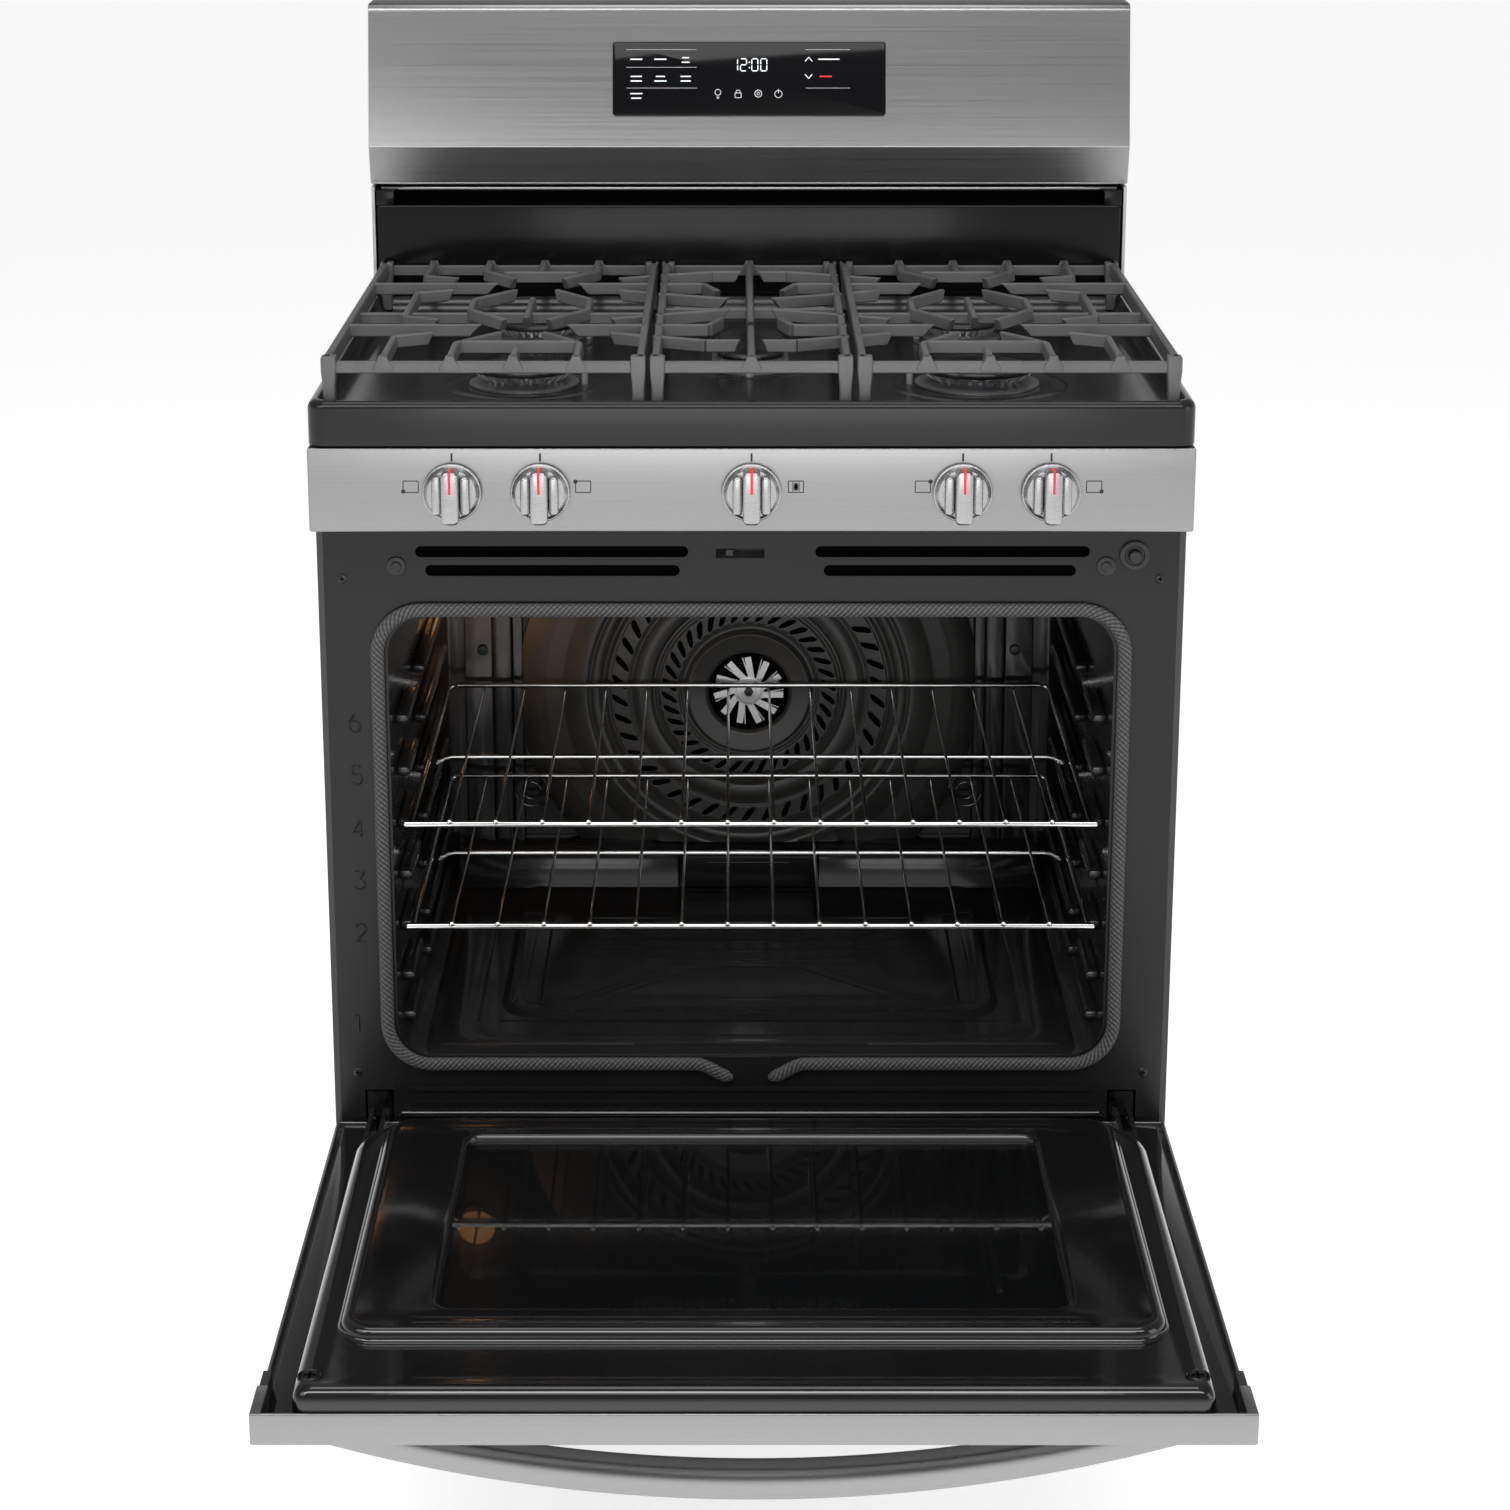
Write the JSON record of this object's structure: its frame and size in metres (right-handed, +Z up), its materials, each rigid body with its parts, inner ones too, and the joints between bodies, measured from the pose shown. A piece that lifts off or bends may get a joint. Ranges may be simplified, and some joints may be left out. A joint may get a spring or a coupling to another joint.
{
  "type": "freestanding gas range",
  "caption": "Freestanding gas range with cast-iron grates, front knobs, convection oven, drop-down door, racks and a storage drawer.",
  "frame": {"origin": "middle of the floor area covered by the range with its oven door open, on the floor", "axes": "+X to the range's right, -Y to the front where the door opens, +Z up"},
  "size_m": [0.762, 1.184, 1.2],
  "materials": {
    "body_paint": "satin",
    "galvanised_steel": "matte",
    "dark_enamel": "satin",
    "oven_enamel": "gloss",
    "black_enamel": "gloss",
    "stainless_steel": "brushed",
    "knob_metal": "satin",
    "bright_steel": "satin",
    "rack_chrome": "polished",
    "grate_iron": "matte",
    "burner_aluminium": "satin",
    "valve_brass": "satin",
    "gasket_weave": "woven",
    "glass_wool": "matte",
    "black_glass": "gloss",
    "window_glass": "clear",
    "lamp_glass": "clear",
    "white_ceramic": "gloss",
    "board_green": "matte",
    "black_plastic": "matte"
  },
  "bodies": {
    "range": {"side_panels": "body_paint", "rear_panel": "body_paint", "base_frame": "galvanised_steel", "leveling_legs": "black_plastic", "front_frame": "dark_enamel", "oven_liner": "oven_enamel", "oven_insulation": "glass_wool", "fan_baffle": "oven_enamel", "fan_motor": "galvanised_steel", "oven_lamp": "lamp_glass", "oven_burners": "bright_steel", "temperature_probe": "bright_steel", "door_gasket": "gasket_weave", "cooktop": "dark_enamel", "burner_bases": "burner_aluminium", "burner_caps": "black_enamel", "igniters": "white_ceramic", "control_panel": "stainless_steel", "manifold_pipe": "bright_steel", "gas_valves": "valve_brass", "burner_tubes": "burner_aluminium", "backguard_shell": "stainless_steel", "backsplash": "dark_enamel", "rear_cover": "galvanised_steel", "control_glass": "black_glass", "control_board": "board_green", "hinge_receivers": "galvanised_steel", "latch_motor": "galvanised_steel", "gas_regulator": "valve_brass", "power_inlet": "black_plastic", "frame_screws": "galvanised_steel", "drawer_rails": "galvanised_steel", "flue_duct": "galvanised_steel"},
    "door": {"door_skin": "stainless_steel", "door_inner_panel": "black_enamel", "door_glass_inner": "window_glass", "door_glass_outer": "window_glass", "door_handle": "stainless_steel", "door_hinges": "galvanised_steel"},
    "drawer": {"drawer_front": "stainless_steel", "drawer_box": "galvanised_steel"},
    "fan": {"fan_blade": "bright_steel"},
    "latch": {"latch_hook": "galvanised_steel"},
    "lamp_switch": {"light_switch": "white_ceramic"},
    "oven_floor": {"oven_bottom": "oven_enamel"},
    "lower_rack": {"rack_lower": "rack_chrome"},
    "upper_rack": {"rack_upper": "rack_chrome"},
    "left_grate": {"grate_left": "grate_iron"},
    "center_grate": {"grate_center": "grate_iron"},
    "right_grate": {"grate_right": "grate_iron"},
    "stem_1": {"valve_stem_1": "bright_steel"},
    "dial_1": {"knob_1": "knob_metal"},
    "stem_2": {"valve_stem_2": "bright_steel"},
    "dial_2": {"knob_2": "knob_metal"},
    "stem_3": {"valve_stem_3": "bright_steel"},
    "dial_3": {"knob_3": "knob_metal"},
    "stem_4": {"valve_stem_4": "bright_steel"},
    "dial_4": {"knob_4": "knob_metal"},
    "stem_5": {"valve_stem_5": "bright_steel"},
    "dial_5": {"knob_5": "knob_metal"}
  },
  "joints": [
    {"name": "door_hinge", "type": "hinge", "parent": "range", "child": "door", "pos_m": [0, -0.047, 0.249], "axis": [-1, 0, 0], "range_deg": [0, 90], "stiffness_Nm_per_rad": 6, "springref_deg": 90.01},
    {"name": "knob_turn_1", "type": "hinge", "parent": "range", "child": "stem_1", "pos_m": [-0.256, 0, 0.8365], "axis": [0, -1, 0], "range_deg": [0, 240]},
    {"name": "knob_push_1", "type": "slide", "parent": "stem_1", "child": "dial_1", "axis": [0, 1, 0], "range_m": [0, 0.003], "stiffness_N_per_m": 1500},
    {"name": "knob_turn_2", "type": "hinge", "parent": "range", "child": "stem_2", "pos_m": [-0.1805, 0, 0.8365], "axis": [0, -1, 0], "range_deg": [0, 240]},
    {"name": "knob_push_2", "type": "slide", "parent": "stem_2", "child": "dial_2", "axis": [0, 1, 0], "range_m": [0, 0.003], "stiffness_N_per_m": 1500},
    {"name": "knob_turn_3", "type": "hinge", "parent": "range", "child": "stem_3", "pos_m": [0, 0, 0.8365], "axis": [0, -1, 0], "range_deg": [0, 240]},
    {"name": "knob_push_3", "type": "slide", "parent": "stem_3", "child": "dial_3", "axis": [0, 1, 0], "range_m": [0, 0.003], "stiffness_N_per_m": 1500},
    {"name": "knob_turn_4", "type": "hinge", "parent": "range", "child": "stem_4", "pos_m": [0.1805, 0, 0.8365], "axis": [0, -1, 0], "range_deg": [0, 240]},
    {"name": "knob_push_4", "type": "slide", "parent": "stem_4", "child": "dial_4", "axis": [0, 1, 0], "range_m": [0, 0.003], "stiffness_N_per_m": 1500},
    {"name": "knob_turn_5", "type": "hinge", "parent": "range", "child": "stem_5", "pos_m": [0.256, 0, 0.8365], "axis": [0, -1, 0], "range_deg": [0, 240]},
    {"name": "knob_push_5", "type": "slide", "parent": "stem_5", "child": "dial_5", "axis": [0, 1, 0], "range_m": [0, 0.003], "stiffness_N_per_m": 1500},
    {"name": "rack_lower_slide", "type": "slide", "parent": "range", "child": "lower_rack", "axis": [0, 1, 0], "range_m": [-0.3, 0]},
    {"name": "rack_upper_slide", "type": "slide", "parent": "range", "child": "upper_rack", "axis": [0, 1, 0], "range_m": [-0.3, 0]},
    {"name": "drawer_slide", "type": "slide", "parent": "range", "child": "drawer", "axis": [0, -1, 0], "range_m": [0, 0.36]},
    {"name": "fan_spin", "type": "hinge", "parent": "range", "child": "fan", "pos_m": [0, 0, 0.507], "axis": [0, -1, 0], "continuous": true},
    {"name": "latch_swing", "type": "hinge", "parent": "range", "child": "latch", "pos_m": [0.04, 0.002, 0], "axis": [0, 0, -1], "range_deg": [-25, 0]},
    {"name": "light_switch_press", "type": "slide", "parent": "range", "child": "lamp_switch", "axis": [0, 1, 0], "range_m": [0, 0.005]},
    {"name": "oven_bottom_lift", "type": "slide", "parent": "range", "child": "oven_floor", "axis": [0, 0, 1], "range_m": [0, 0.04]},
    {"name": "grate_left_lift", "type": "slide", "parent": "range", "child": "left_grate", "axis": [0, 0, 1], "range_m": [0, 0.06]},
    {"name": "grate_center_lift", "type": "slide", "parent": "range", "child": "center_grate", "axis": [0, 0, 1], "range_m": [0, 0.06]},
    {"name": "grate_right_lift", "type": "slide", "parent": "range", "child": "right_grate", "axis": [0, 0, 1], "range_m": [0, 0.06]}
  ],
  "couplings": [
    {"joint": "light_switch_press", "follows": "door_hinge", "m_per_rad": 0.00318}
  ]
}
